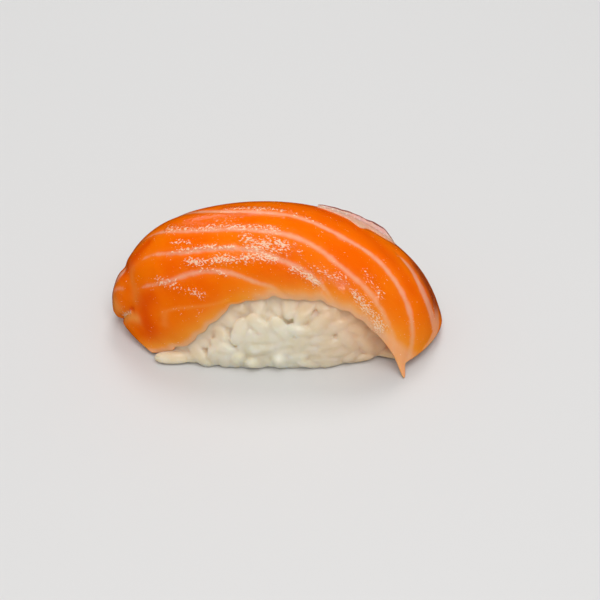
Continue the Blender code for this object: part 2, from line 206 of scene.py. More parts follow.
# Patches along short lines, each with half width, strength and the line: where cut fibres stand up
# and shine, with painted glint flecks, where the flesh is a deeper orange, partly painted shade in the
# fold and crease at the left end, where it is paler, where the edge is nearly clear with rice behind
# it, and where it is brown, in the seam at the right end and as painted shadow beside the silver skin.
PATCH_LINES = {
    "wet": (
        (0.8, 0.85, ((0.426, 0.275), (0.459, 0.262), (0.50, 0.242), (0.54, 0.237), (0.568, 0.227))),
        (0.7, 0.55, ((0.592, 0.198), (0.61, 0.181), (0.63, 0.145), (0.65, 0.126))),
        (1.0, 0.85, ((0.286, 0.11), (0.325, 0.045), (0.369, -0.01), (0.411, -0.036), (0.451, -0.05),
                     (0.49, -0.07), (0.529, -0.076), (0.554, -0.09))),
        (1.2, 0.45, ((0.421, 0.051), (0.437, 0.057), (0.458, 0.064), (0.476, 0.084))),
        (0.6, 0.95, ((0.298, -0.242), (0.325, -0.256), (0.357, -0.268), (0.39, -0.29), (0.419, -0.313),
                     (0.446, -0.33))),
        (0.7, 0.75, ((0.309, -0.147), (0.327, -0.145), (0.346, -0.192))),
        (1.2, 1.0, ((0.331, -0.406), (0.35, -0.432), (0.368, -0.455), (0.392, -0.453), (0.416, -0.447),
                    (0.442, -0.477))),
        (1.6, 1.0, ((0.482, -0.23), (0.499, -0.28), (0.511, -0.30), (0.538, -0.285), (0.559, -0.291),
                    (0.568, -0.33))),
        (1.1, 0.9, ((0.478, -0.342), (0.499, -0.345), (0.52, -0.36), (0.541, -0.37), (0.564, -0.39))),
        (1.2, 1.0, ((0.461, -0.48), (0.477, -0.455), (0.499, -0.462), (0.52, -0.47), (0.536, -0.482))),
        (1.3, 1.0, ((0.584, -0.595), (0.605, -0.635), (0.622, -0.676), (0.635, -0.722))),
        (0.5, 0.9, ((0.231, -0.454), (0.248, -0.466), (0.272, -0.497))),
        (0.6, 0.75, ((0.35, -0.51), (0.372, -0.537), (0.385, -0.579), (0.40, -0.632))),
        (0.7, 0.5, ((0.59, -0.271), (0.605, -0.38), (0.614, -0.48))),
        (1.3, 0.6, ((0.63, -0.567), (0.668, -0.57), (0.713, -0.572))),
        (1.6, 1.0, ((0.744, -0.70), (0.775, -0.76), (0.804, -0.82), (0.84, -0.90))),
        (0.9, 0.6, ((0.76, -0.352), (0.781, -0.427), (0.806, -0.52))),
        (1.3, 0.65, ((0.235, -0.411), (0.253, -0.50), (0.281, -0.611), (0.312, -0.738))),
        (0.5, 1.0, ((0.017, -0.267), (0.056, -0.359), (0.083, -0.414))),
    ),
    "deep": (
        (2.2, 0.9, ((0.091, -0.747), (0.129, -0.594), (0.15, -0.52), (0.187, -0.488))),
        (0.5, 1.3, ((0.083, -0.39), (0.095, -0.40), (0.106, -0.432))),
        (1.6, 1.0, ((0.138, -0.03), (0.171, -0.04), (0.199, -0.02), (0.232, 0.03))),
        (2.0, 0.6, ((0.62, 0.45), (0.72, 0.30), (0.80, 0.10), (0.87, -0.20))),
    ),
    "pale": (
        (1.1, 0.8, ((0.03, -0.34), (0.08, -0.468), (0.101, -0.531))),
        (2.2, 0.8, ((0.005, 0.05), (0.03, -0.06), (0.05, -0.16))),
        (1.4, 0.28, ((0.135, -0.384), (0.157, -0.266), (0.17, -0.117))),
        (0.40, 0.45, ((0.186, -0.66), (0.212, -0.682), (0.264, -0.766), (0.305, -0.85), (0.36, -0.93))),
        (0.9, 0.35, ((0.166, -0.745), (0.180, -0.708), (0.194, -0.676))),
        (2.2, 0.8, ((0.05, -0.97), (0.17, -1.0), (0.30, -1.0))),
        (1.8, 0.6, ((0.42, -1.0), (0.55, -1.0), (0.68, -1.0), (0.78, -0.98))),
        (2.6, 1.0, ((0.86, -1.0), (0.94, -0.98), (1.0, -1.0))),
    ),
    "clear": (
        (1.8, 1.0, ((0.46, -1.0), (0.58, -1.0), (0.70, -1.0), (0.80, -1.0), (0.86, -1.0))),
        (0.9, 0.7, ((0.03, -1.0), (0.17, -1.0), (0.32, -1.0))),
    ),
    "brown": (
        (0.8, 0.7, ((0.78, 0.62), (0.84, 0.50), (0.88, 0.42))),
        (0.4, 0.7, ((0.757, 0.34), (0.785, 0.37), (0.81, 0.385), (0.835, 0.43))),
        (2.6, 1.2, ((0.895, 0.27), (0.91, 0.18), (0.925, 0.11), (0.94, 0.05), (0.955, 0.02))),
    ),
}


def line_gap(surface, along, across, line):
    """For each point, how far it is from one line in millimetres: the gap in v times the width of a
    step in v, shortened by how steeply the line runs. Beyond the line's ends, how far they are."""
    wide = np.linalg.norm(np.gradient(surface, across, axis=1), axis=-1)
    long_ = np.linalg.norm(np.gradient(surface, along, axis=0), axis=-1)
    inside = np.clip(along, line[0][0], line[-1][0])
    v = through(line, inside)
    gap = np.abs(across[None, :] - v[:, None]) * wide
    gap = gap / np.sqrt(1 + (np.gradient(v, along)[:, None] * wide / long_) ** 2)
    return np.hypot(gap, np.abs(along - inside)[:, None] * long_)


def fat_distance(surface, along, across):
    """For each point, the smallest over all fat lines of its gap less the line's half width there,
    which goes from the first width to the last one by 1 - exp(-rate x share)."""
    away = np.full(surface.shape[:2], FAR)
    for first, last, line in FAT_LINES:
        share = np.clip((along - line[0][0]) / (line[-1][0] - line[0][0]), 0, 1)
        half = first + (last - first) * (1 - np.exp(-WIDTH_RATE * share))
        away = np.minimum(away, line_gap(surface, along, across, line) - half[:, None])
    return away


def patch_weight(surface, along, across, lines):
    """For each point, the largest over the lines of strength times a Gaussian of gap over half width."""
    weight = np.zeros(surface.shape[:2])
    for half, strength, line in lines:
        gap = line_gap(surface, along, across, line)
        weight = np.maximum(weight, strength * np.exp(-((gap / half) ** 2)))
    return weight


def border(rows, columns):
    """The numbers of a grid's outermost points, once round."""
    index = np.arange(rows * columns).reshape(rows, columns)
    return np.concatenate([index[:-1, 0], index[-1, :-1], index[:0:-1, -1], index[0, :0:-1]])


def closed_sheet(upper, lower, bulge):
    """Two grids joined by a half-round rim of five rings, each at an angle between the two faces: sine
    upwards, and cosine outwards times the bulge and the wall's height."""
    rows, columns = upper.shape[:2]
    size = rows * columns
    edge = border(rows, columns)
    top, bottom = upper.reshape(-1, 3)[edge], lower.reshape(-1, 3)[edge]
    out = np.cross(np.roll(top + bottom, -1, axis=0) - np.roll(top + bottom, 1, axis=0), top - bottom)
    out /= np.linalg.norm(out, axis=1, keepdims=True)
    out *= np.linalg.norm(top - bottom, axis=1, keepdims=True) * bulge
    rings = [
        (top + bottom) / 2 + (top - bottom) / 2 * math.sin(a) + out * math.cos(a)
        for a in np.linspace(math.pi / 2, -math.pi / 2, RIM_RINGS + 2)[1:-1]
    ]
    points = np.concatenate([upper.reshape(-1, 3), lower.reshape(-1, 3), *rings])
    corner = (np.arange(rows - 1)[:, None] * columns + np.arange(columns - 1)).ravel()
    quads = np.stack([corner, corner + columns, corner + columns + 1, corner + 1], -1)
    between = 2 * size + np.arange(RIM_RINGS * len(edge)).reshape(RIM_RINGS, -1)
    ring = [edge, *between, edge + size]
    walls = [
        np.stack([a, b, np.roll(b, -1), np.roll(a, -1)], -1) for a, b in zip(ring[:-1], ring[1:])
    ]
    return points, np.concatenate([quads, quads[:, ::-1] + size, *walls])


def mesh_object(name, points, faces):
    """A smooth-shaded object from arrays of points, in millimetres, and of faces."""
    mesh = bpy.data.meshes.new(name)
    faces = np.asarray(faces)
    mesh.vertices.add(len(points))
    mesh.vertices.foreach_set("co", ((points + SHIFT) * MM).astype(np.float32).ravel())
    mesh.loops.add(faces.size)
    mesh.loops.foreach_set("vertex_index", faces.astype(np.int32).ravel())
    mesh.polygons.add(len(faces))
    mesh.polygons.foreach_set("loop_start", np.arange(0, faces.size, faces.shape[1], dtype=np.int32))
    mesh.update(calc_edges=True)
    mesh.validate()
    mesh.shade_smooth()
    obj = bpy.data.objects.new(name, mesh)
    bpy.context.scene.collection.objects.link(obj)
    return obj


def point_values(obj, name, values):
    """One number for each vertex, kept on the mesh for the material to read."""
    attribute = obj.data.attributes.new(name, "FLOAT", "POINT")
    attribute.data.foreach_set("value", np.asarray(values, np.float32).ravel())


def sheet_values(obj, name, grid):
    """A grid's values on a closed sheet: once for each face, and its border's for each rim ring."""
    flat = grid.ravel()
    rim = np.tile(flat[border(*grid.shape)], RIM_RINGS)
    point_values(obj, name, np.concatenate([flat, flat, rim]))


# Waves of the front edge: each one's height, rate and phase, how far in they reach, and how fast they
# start at the left end and stop before the right one, in shares of u.
WAVES, WAVE_REACH = ((0.3, 47, 0), (0.2, 83, 1), (0.15, 131, 2)), 2.2
WAVE_START, WAVE_END, WAVE_STOP = 0.05, 0.85, 0.1


def edge_waves(base, along):
    """Near the front edge, a shift down along the sheet by a sum of sines of u, under a Gaussian of the
    distance to the edge."""
    down = base[:, :1] - base[:, 1:2]
    down /= np.linalg.norm(down, axis=-1, keepdims=True)
    wave = sum(height * np.sin(along * rate + phase) for height, rate, phase in WAVES)
    wave *= np.clip(np.minimum(along / WAVE_START, (WAVE_END - along) / WAVE_STOP), 0, 1)
    near = np.exp(-((np.linalg.norm(base - base[:, :1], axis=-1) / WAVE_REACH) ** 2))
    return down * (wave[:, None] * near)[..., None]


def build_slice():
    """Upper face = base + normal x (lip + relief) + tip pull; lower face = base - normal x thickness +
    tip pull."""
    along = np.linspace(0, 1, SLICE_GRID[0])
    across = np.linspace(-1, 1, SLICE_GRID[1])
    base = slice_base(along, across)
    away = fat_distance(base, along, across)
    base = base + edge_waves(base, along)
    relief = 1 - np.exp(-((np.clip(away + RELIEF_START, 0, FAR) / RELIEF_RISE) ** 2))
    relief *= np.minimum(1, (1 - np.abs(across)) / EDGE_FADE)[None, :]
    relief *= np.minimum(1, np.minimum(along, 1 - along) / END_FADE)[:, None]
    up = outward(base)
    height = lip_height(along, across) + RELIEF_HEIGHT * relief
    thickness = slice_thickness(along, across)
    top = base + up * height[..., None] + tip_pull(base)
    under = base - up * thickness[..., None] + tip_pull(base)
    obj = mesh_object("salmon", *closed_sheet(top, under, RIM_BULGE))

    u, v = np.meshgrid(along, across, indexing="ij")
    grids = {name: patch_weight(base, along, across, lines) for name, lines in PATCH_LINES.items()}
    grids |= {"fat": away, "thick": thickness}
    grids |= {"along": u * SLICE_LENGTH, "across": v * SLICE_HALF_WIDTH}
    for name, grid in grids.items():
        sheet_values(obj, name, grid)
    return obj


salmon = build_slice()
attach(salmon, "root")
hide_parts("salmon_slice")


# Slice of salmon, its flesh
# Raw orange muscle in bands between pale lines of fat, moist and slightly see-through.
# It pales where it thins out towards the front edge, partly with painted light, and its wet surface
# sparkles, partly with painted glints.
class Nodes:
    """Builds one material's node tree. Each call makes a node."""

    def __init__(self, name):
        self.material = bpy.data.materials.new(name)
        self.material.use_nodes = True
        self.tree = self.material.node_tree
        self.tree.nodes.clear()

    def value(self, kind, output=0, settings=None, **inputs):
        """One output of a new node. Inputs are named by socket, with _ for a space, or by number as i0,
        i1 and so on."""
        made = self.tree.nodes.new("ShaderNode" + kind)
        for key, value in (settings or {}).items():
            setattr(made, key, value)
        for key, value in inputs.items():
            numbered = key[0] == "i" and key[1:].isdigit()
            socket = made.inputs[int(key[1:]) if numbered else key.replace("_", " ")]
            if isinstance(value, Value):
                self.tree.links.new(value.socket, socket)
            else:
                socket.default_value = value
        return Value(self, made.outputs[output])

    def math(self, operation, first, second):
        return self.value("Math", 0, {"operation": operation}, i0=first, i1=second)

    def attribute(self, name):
        return self.value("Attribute", "Fac", {"attribute_name": name})

    def between(self, value, low, high):
        """0 below low and 1 above high, with a smooth step between; low may be above high."""
        return self.value("MapRange", 0, {"interpolation_type": "SMOOTHSTEP"}, Value=value,
                          From_Min=low, From_Max=high)

    def mix(self, factor, first, second):
        """Inputs 6 and 7 and output 2 are the node's colours."""
        return self.value("Mix", 2, {"data_type": "RGBA"}, i0=factor, i6=first, i7=second)

    def noise(self, place, scale, detail, rough=0.5):
        return self.value("TexNoise", 0, None, Vector=place, Scale=scale, Detail=detail, Roughness=rough)

    def bump(self, height, strength, distance):
        return self.value("Bump", 0, None, Height=height, Strength=strength, Distance=distance)

    def translucent(self, depth, reach, **inputs):
        """A shader that lets light in to a depth, times a share for each of red, green and blue."""
        settings = {"subsurface_method": "RANDOM_WALK"}
        return self.value("BsdfPrincipled", 0, settings, Subsurface_Scale=depth, Subsurface_Radius=reach,
                          **inputs)

    def surface(self, shader):
        out = self.tree.nodes.new("ShaderNodeOutputMaterial")
        self.tree.links.new(shader.socket, out.inputs["Surface"])
        return self.material


class Value:
    """An output socket. Sums with it make Math nodes."""

    def __init__(self, nodes, socket):
        self.nodes, self.socket = nodes, socket

    def __add__(self, other):
        return self.nodes.math("ADD", self, other)

    def __sub__(self, other):
        return self.nodes.math("SUBTRACT", self, other)

    def __mul__(self, other):
        return self.nodes.math("MULTIPLY", self, other)


def colour(red, green, blue):
    """A screen colour of 0 to 255 as the linear colour that a shader takes."""
    c = np.array([red, green, blue]) / 255
    linear = np.where(c <= 0.04045, c / 12.92, ((c + 0.055) / 1.055) ** 2.4)
    return (*linear.tolist(), 1.0)


def flesh_material():
    """Two oranges in clouds and streaks, mixed step by step with other colours, and a second, whiter
    shader for the painted glint flecks."""
    m = Nodes("salmon_flesh")
    along, across = m.attribute("along"), m.attribute("across")
    fat, thick, wet = m.attribute("fat"), m.attribute("thick"), m.attribute("wet")
    place = m.value("CombineXYZ", 0, None, X=along, Y=across)
    stretched = m.value("CombineXYZ", 0, None, X=along * 0.3, Y=across)
    fibres = m.value("CombineXYZ", 0, None, X=along * 0.6, Y=across)

    # Bands of flesh, with deeper and paler places; the deeper ones in the fold and crease at the left
    # end are painted shade.
    cloud = m.noise(place, 0.07, 2)
    streak = m.noise(stretched, 0.9, 4, 0.6)
    flesh = m.mix(m.between(cloud, 0.35, 0.65), colour(247, 102, 0), colour(252, 116, 0))
    flesh = m.mix(m.between(streak, 0.45, 0.8) * 0.15, flesh, colour(255, 140, 20))
    # Deeper orange; in the fold and crease at the left end this is painted shade.
    flesh = m.mix(m.attribute("deep") * 0.75, flesh, colour(228, 72, 0))
    flesh = m.mix(m.attribute("pale") * 0.6, flesh, colour(255, 180, 92))

    # Fat lines with a wavering edge, in a softer halo.
    edge = fat + (m.noise(place, 0.45, 3) - 0.5)
    flesh = m.mix(m.between(edge, 1.8, -0.2) * 0.25, flesh, colour(255, 138, 50))
    flesh = m.mix(m.between(edge, 0.55, -0.5) * 0.85, flesh, colour(246, 172, 138))

    # Paler where the slice is thin, most of all over the rice: partly its own tone and partly painted
    # light, a glow through the thin edge and lightening of the front face, which turns away from the
    # lamps.
    # Then the clear edge, and brown in the seam and as painted shadow beside the silver skin.
    over_rice = m.between(along, 30, 45) * m.between(along, 85, 70)
    flesh = m.mix(m.between(thick, 3.3, 1.1) * 0.6, flesh, colour(255, 168, 50))
    # Painted light over the rice, on the front face that turns away from the lamps.
    flesh = m.mix(m.between(thick, 4.7, 2.0) * over_rice * 0.45, flesh, colour(255, 166, 44))
    flesh = m.mix(m.between(thick, 1.7, 1.15) * 0.5, flesh, colour(248, 186, 150))
    flesh = m.mix(m.attribute("clear") * 0.75, flesh, colour(238, 188, 146))
    # Brown in the seam at the right end, and painted shadow along the foot of the silver skin.
    flesh = m.mix(m.attribute("brown") * (streak * 0.9 + 0.4), flesh, colour(172, 70, 26))

    # Cut fibres stand up a little in bumps, and the flecks where they catch the light are painted
    # glints, a whiter shader mixed in.
    clump = m.noise(fibres, 0.5, 1) * 0.25
    painted_glint = m.between(m.noise(fibres, 2.5, 2, 0.7) + clump + wet * 0.22, 0.80, 0.88)
    grain = m.noise(fibres, 1.9, 2, 0.7)
    ripple = m.noise(place, 0.5, 2)
    normal = m.bump(grain * (wet * 0.7 + 0.05) + ripple * 0.2, 1.0, 0.0007)
    shader = m.translucent(0.0015, (1.0, 0.3, 0.08), Subsurface_Weight=0.35, Base_Color=flesh,
                           Roughness=0.12, IOR=1.38, Normal=normal)
    # Painted glints: a whitish shader for the flecks.
    shine = m.value("BsdfPrincipled", 0, None, Base_Color=colour(255, 222, 190), Roughness=0.3,
                    Normal=normal)
    return m.surface(m.value("MixShader", 0, None, i0=painted_glint * 0.8, i1=shader, i2=shine))


salmon.data.materials.append(flesh_material())

# Strip of silver skin
# A torn pinkish-white membrane left on the slice's back shoulder, about half a millimetre thick.
# It clings to the flesh along its foot and stands up from it in a wavy edge with a dark red rim.
SKIN_SPAN, SKIN_ROOT = (0.648, 0.837), 0.57
SKIN_HEIGHT = (
    (0, 0.4), (0.2, 0.7), (0.36, 0.8), (0.48, 0.9), (0.6, 0.95), (0.74, 1.1), (0.9, 0.8),
    (1, 0.1),
)
SKIN_FOOT = (
    (0, 0.52), (0.15, 0.47), (0.30, 0.43), (0.42, 0.38), (0.50, 0.32), (0.55, 0.33), (0.60, 0.38),
    (0.7, 0.41), (0.85, 0.41), (1, 0.50),
)
# It gets thinner by a share towards its edge, and leans over by shares of its height along each axis.
SKIN_THICKNESS, SKIN_THINNING, SKIN_LEAN = 0.45, 0.7, np.array([0.0, 0.25, 0.1])
SKIN_LIFT, SKIN_BULGE, SKIN_FRILL = 0.1, 0.3, 0.08
# Columns along the strip, then rows on the slice and rows up from it, and the part of v it lies in.
SKIN_COLUMNS, SKIN_ROWS_LOW, SKIN_ROWS_HIGH, SKIN_REACH = 90, 5, 8, (0.28, 0.70)


def build_skin():
    """Each column climbs from the foot along the slice to the root, then up the slice's normal by the
    height with a lean that grows towards the edge; half the thickness goes to each side."""
    share = np.linspace(0, 1, SKIN_COLUMNS)
    along = SKIN_SPAN[0] + (SKIN_SPAN[1] - SKIN_SPAN[0]) * share
    foot = through(SKIN_FOOT, share)
    across = np.linspace(*SKIN_REACH, SKIN_COLUMNS)
    base = slice_base(along, across)
    up = outward(base)

    def on_slice(v):
        column = np.clip(np.searchsorted(across, v), 1, len(across) - 1)
        row = np.arange(len(share))
        return base[row, column], up[row, column]

    rows, climbs = [], []
    for step in np.linspace(0, 1, SKIN_ROWS_LOW)[:-1]:
        place, normal = on_slice(foot + (SKIN_ROOT - foot) * step)
        rows.append(place + normal * SKIN_LIFT)
        climbs.append(np.zeros(len(share)))
    root, normal = on_slice(np.full(len(share), SKIN_ROOT))
    frill = 1 + SKIN_FRILL * np.sin(share * 29) * np.sin(share * 11 + 1)
    height = (through(SKIN_HEIGHT, share) * frill)[:, None]
    for climb in np.linspace(0, 1, SKIN_ROWS_HIGH):
        rows.append(root + (normal + SKIN_LEAN * climb) * height * climb + normal * SKIN_LIFT)
        climbs.append(np.full(len(share), climb))
    middle = np.stack(rows, 1)
    climb = np.stack(climbs, 1)
    side = outward(middle) * (SKIN_THICKNESS / 2 * (1 - SKIN_THINNING * climb))[..., None]
    obj = mesh_object("silver_skin", *closed_sheet(middle + side, middle - side, SKIN_BULGE))
    sheet_values(obj, "climb", climb)
    return obj


def skin_material():
    """Pinkish white in clouds with light specks, which are painted glints, and dark specks, orange at
    the foot, dark red at the edge.
    """
    m = Nodes("silver_skin")
    place = m.value("TexCoord", 3)
    climb = m.attribute("climb")
    cloud = m.noise(place, 500.0, 2)
    mottle = m.noise(place, 1500.0, 2, 0.7)
    look = m.mix(m.between(cloud, 0.42, 0.6), colour(228, 184, 176), colour(222, 192, 174))
    # Light specks: painted glints.
    look = m.mix(m.between(mottle, 0.56, 0.66) * 0.8, look, colour(244, 232, 222))
    look = m.mix(m.between(mottle, 0.42, 0.3) * 0.5, look, colour(206, 124, 108))
    look = m.mix(m.between(climb, 0.35, 0.0) * 0.5, look, colour(246, 164, 112))
    ragged = climb + mottle * 0.4 + cloud * 0.4
    look = m.mix(m.between(ragged, 1.12, 1.34) * 0.9, look, colour(112, 40, 42))
    normal = m.bump(m.noise(place, 1800.0, 2), 0.5, 0.0002)
    return m.surface(m.translucent(0.0008, (1.0, 0.6, 0.4), Subsurface_Weight=0.6, Base_Color=look,
                                   Roughness=0.3, IOR=1.38, Normal=normal))


skin = build_skin()
skin.data.materials.append(skin_material())
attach(skin, "root")
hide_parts("salmon_slice")

# Block of rice, its shape
# Cooked short-grain rice pressed by hand into an oblong block. The grains stay whole and stick
# to each other. Two layers of real grains lie over a smaller core that never shows.
CORE_CENTRE_X, CORE_HALF_LENGTH, CORE_HALF_WIDTH = -1.0, 27.9, 12.8
CORE_WAIST, CORE_RISE, CORE_DROP = 5.6, 20.5, 6.6
PLAN_POWER, PROFILE_POWER, TOP_POWER, FOOT_POWER = 2.8, 3.0, 2.0, 5.5
CORE_INSET, CORE_GRID = 1.3, (48, 56)
# Layers of grains: spacing, height over the core, how much lower beside the slice's edge, and seed.
LAYERS = ((2.6, -0.3, 1.0, 1), (3.0, -1.6, 0.8, 2))
LEVEL_SPREAD, TILT_SPREAD, TUCK_REACH = 0.3, 0.1, 2.8
# Places tried on the core and the two steps between them, the inverse of the plastic number and its
# square. Then how far they go towards its ends, how far round to the underside, and how low.
PLACES, STEP_ALONG, STEP_ROUND = 7000, 0.7548776662, 0.5698402910
END_SHARE, UNDERSIDE, LOWEST = 0.985, -0.85, 0.3
# The slice hides grains more than so many grid steps in from its edge and not so many mm below it.
HIDDEN_STEPS, HIDDEN_DEPTH = 6, 5
# Grains, all in ranges: length, width, taper, sideways bend and height as a share of the width.
GRAIN_LENGTH, GRAIN_WIDTH = (6.0, 7.8), (3.0, 3.6)
GRAIN_TAPER, GRAIN_BEND, GRAIN_HEIGHT = (-0.16, 0.16), (-0.35, 0.35), (0.78, 0.92)
GRAIN_GRID = (11, 14)
# Four beads stand for a grain while it settles: their places along it, how large they are beside each
# other, and their radius as a share of the grain's.
BEADS, BEAD_SIZES, BEAD_RADIUS = np.array([-1.0, -0.35, 0.35, 1.0]), [0.88, 1, 1, 0.88], 0.72
# Rounds, and how much of an overlap each takes away: between beads, and with the slice or the floor.
# Then how much of a push moves the grain, how little it turns it, how far its height may drift, how
# much of the rest is taken back, and how much it tips back to lie flat.
SETTLE_ROUNDS, PUSH_APART, PUSH_OUT = 50, 0.28, 0.6
MOVE, STIFFNESS, DRIFT, TAKE_BACK, LIE_FLAT = 0.45, 4.4, 0.3, 0.6, 0.06
# Grains come out from under the slice's edge at this slope; the most that is taken off, and how far
# past the edge. The pressing by hand: from which height over the core, up to how much, which share.
EDGE_SLOPE, MOST_OFF, EDGE_REACH = 0.8, 2.0, 4
PRESS_START, PRESS_MOST, PRESS_SHARE = 0.1, 1.4, 0.5
# Grains that lie by themselves at the foot: length and width, then middle and long direction of each.
LOOSE_LENGTH, LOOSE_WIDTH, LOOSE_UP = 8.2, 2.8, [0.0, -0.5, 0.8]
LOOSE_GRAINS = np.array([
    [[-21.6, -10.6, 1.45], [1.0, 0.0, 0.0]],
    [[-19.0, -8.9, 1.5], [1.0, 0.15, 0.0]],
    [[23.4, -9.2, 1.9], [1.0, -0.25, 0.0]],
])
# Painted light: the slice's orange bounce light is painted on the rice near the slice's edge and,
# from an X on, towards the right end.
# Painted shade: gaps between grains are darker from a depth on, but not at the slice's edge.
BOUNCE_REACH, BOUNCE_SHARE = 4.5, 0.6
BOUNCE_RIGHT_START, BOUNCE_RIGHT_RUN, BOUNCE_RIGHT_SHARE = 3, 18, 0.85
GAP_SHADE_START, GAP_SHADE_RUN, GAP_SHADE_REACH = 0.9, 1.2, 4.0
FUSE_SIZE, FLOOR_GAP = 0.27, 0.02


def core_surface(along, turn, inset=0.0):
    """Superellipse rings: x runs along, y is minus a cosine and z a sine of the turn, each to a power,
    and every ring shrinks to nothing at both ends. The inset makes all sizes smaller."""
    slim = np.clip(1 - np.abs(along) ** PLAN_POWER, 0, 1) ** (1 / PLAN_POWER)
    low = np.clip(1 - np.abs(along) ** PROFILE_POWER, 0, 1) ** (1 / PROFILE_POWER)
    out, rise = np.cos(turn), np.sin(turn)
    power = np.where(rise > 0, 2 / TOP_POWER, 2 / FOOT_POWER)
    height = np.where(rise > 0, CORE_RISE, CORE_DROP) - inset
    x = CORE_CENTRE_X + (CORE_HALF_LENGTH - inset) * along + 0 * turn
    y = -(CORE_HALF_WIDTH - inset) * slim * np.sign(out) * np.abs(out) ** power
    z = CORE_WAIST + height * low * np.sign(rise) * np.abs(rise) ** power
    return np.stack([x, y, np.maximum(z, inset * 0.6)], -1)


def core_frame(along, turn):
    """Place, two directions along the surface from central differences, and their cross product, which
    points out."""
    step = 0.004
    place = core_surface(along, turn)
    run = core_surface(along + step, turn) - core_surface(along - step, turn)
    loop = core_surface(along, turn + step) - core_surface(along, turn - step)
    out = np.cross(run, loop)
    run /= np.linalg.norm(run, axis=-1, keepdims=True)
    out /= np.linalg.norm(out, axis=-1, keepdims=True) + 1e-9
    return place, run, np.cross(out, run), out


def squares(points, samples):
    """Table of squared distances: squares of both lengths less twice the dot product."""
    return (points**2).sum(-1)[:, None] + (samples**2).sum(-1)[None, :] - 2 * points @ samples.T


def nearest(points, samples):
    """The number of the sample that each point is nearest to."""
    return squares(points, samples).argmin(1)


def spread(count, spacing, seed):
    """Places on the core from multiples of two irrational steps. Each is kept if no kept one is within
    the spacing."""
    number = np.arange(count) + seed * 0.37
    along = (2 * (number * STEP_ALONG % 1) - 1) * END_SHARE
    turn = 2 * math.pi * (number * STEP_ROUND % 1)
    place, run, loop, out = core_frame(along, turn)
    kept = []
    for i in np.flatnonzero((out[:, 2] > UNDERSIDE) & (place[:, 2] > LOWEST)):
        if not kept or np.min(np.linalg.norm(place[kept] - place[i], axis=1)) >= spacing:
            kept.append(i)
    return place[kept], run[kept], loop[kept], out[kept]


def under_slice(points):
    """For each point: how far it is above the slice's lower face, which is carried on past the edge,
    the direction up from that face, how far past the edge it is, and how many grid steps in from it."""
    along, across = np.linspace(0, 1, 90), np.linspace(-1, 1, 48)
    base = slice_base(along, across)
    up = outward(base)
    under = base - up * slice_thickness(along, across)[..., None] + tip_pull(base)
    under, up = under.reshape(-1, 3), up.reshape(-1, 3)
    q = nearest(points, under)
    row, column = q // len(across), q % len(across)
    rise = ((points - under[q]) * up[q]).sum(1)
    row_steps = np.minimum(row, len(along) - 1 - row)
    steps = np.minimum(row_steps, np.minimum(column, len(across) - 1 - column))
    past = np.sqrt(np.clip(((points - under[q]) ** 2).sum(1) - rise**2, 0, None)) * (steps == 0)
    return rise, up[q], past, steps


def too_high(rise, past, room):
    """How much of a rise to take off, so that the grains stay under the slice and come out from under
    its edge at a steady slope. Far from the edge nothing is taken off."""
    return np.clip(rise + room - EDGE_SLOPE * past, 0, MOST_OFF) * (past < EDGE_REACH)


def core_samples(rows):
    """Places all over the core, and the direction out of it at each."""
    turn = np.linspace(0, 2 * math.pi, 72, endpoint=False)
    u, v = np.meshgrid(np.linspace(-0.99, 0.99, rows), turn, indexing="ij")
    place, _, _, out = core_frame(u, v)
    return place.reshape(-1, 3), out.reshape(-1, 3)


def bead_offsets(axis, half):
    """From each grain's middle to each of its beads."""
    return (axis[:, None, :] * half[:, None, None] * BEADS[None, :, None]).reshape(-1, 3)


def settle_grains(centre, axis, half, radius):
    """Every round, beads of different grains that overlap push each other apart, and are pushed out of
    the slice and up from the floor, which moves and turns their grains; then each grain is drawn back
    to its height over the core. Also says which grains end up clear of the slice."""
    core, core_out = core_samples(70)
    rise, up, past, _ = under_slice(centre)
    centre = centre - up * too_high(rise, past, 1.9)[:, None]
    q = nearest(centre, core)
    height = ((centre - core[q]) * core_out[q]).sum(1)
    owner = np.repeat(np.arange(len(centre)), len(BEADS))
    others = owner[:, None] != owner[None, :]
    reach = radius[owner] * np.tile(BEAD_SIZES, len(centre))
    for _ in range(SETTLE_ROUNDS):
        offset = bead_offsets(axis, half)
        bead = centre[owner] + offset
        far = np.sqrt(np.clip(squares(bead, bead), 1e-6, None))
        share = np.clip(reach[:, None] + reach[None, :] - far, 0, 0.8) * others / far
        push = (bead * share.sum(1)[:, None] - share @ bead) * PUSH_APART
        rise, up, past, _ = under_slice(bead)
        push -= up * too_high(rise, past, reach)[:, None] * PUSH_OUT
        push[:, 2] += np.clip(reach * 0.86 - bead[:, 2], 0, 1) * PUSH_OUT

        force = np.zeros_like(centre)
        twist = np.zeros_like(centre)
        np.add.at(force, owner, push)
        np.add.at(twist, owner, np.cross(offset, push))
        centre = centre + force * MOVE
        axis = axis + np.cross(twist / (half[:, None] ** 2 * STIFFNESS), axis)
        q = nearest(centre, core)
        over = ((centre - core[q]) * core_out[q]).sum(1)
        back = np.clip(over, height - DRIFT, height + DRIFT) - over
        centre = centre + core_out[q] * back[:, None] * TAKE_BACK
        axis = axis - core_out[q] * (axis * core_out[q]).sum(1)[:, None] * LIE_FLAT
        axis /= np.linalg.norm(axis, axis=1, keepdims=True)
    rise, _, _, steps = under_slice(centre[owner] + bead_offsets(axis, half))
    clash = (steps > 0) & (rise > -0.5 * reach)
    return centre, axis, core_out[nearest(centre, core)], ~clash.reshape(len(centre), -1).any(1)


def over_core(points):
    """For each point, how high it is over the nearest place on the core, and the direction out of it."""
    core, out = core_samples(64)
    q = np.concatenate([nearest(part, core) for part in np.array_split(points, 60)])
    return ((points - core[q]) * out[q]).sum(1), out[q]


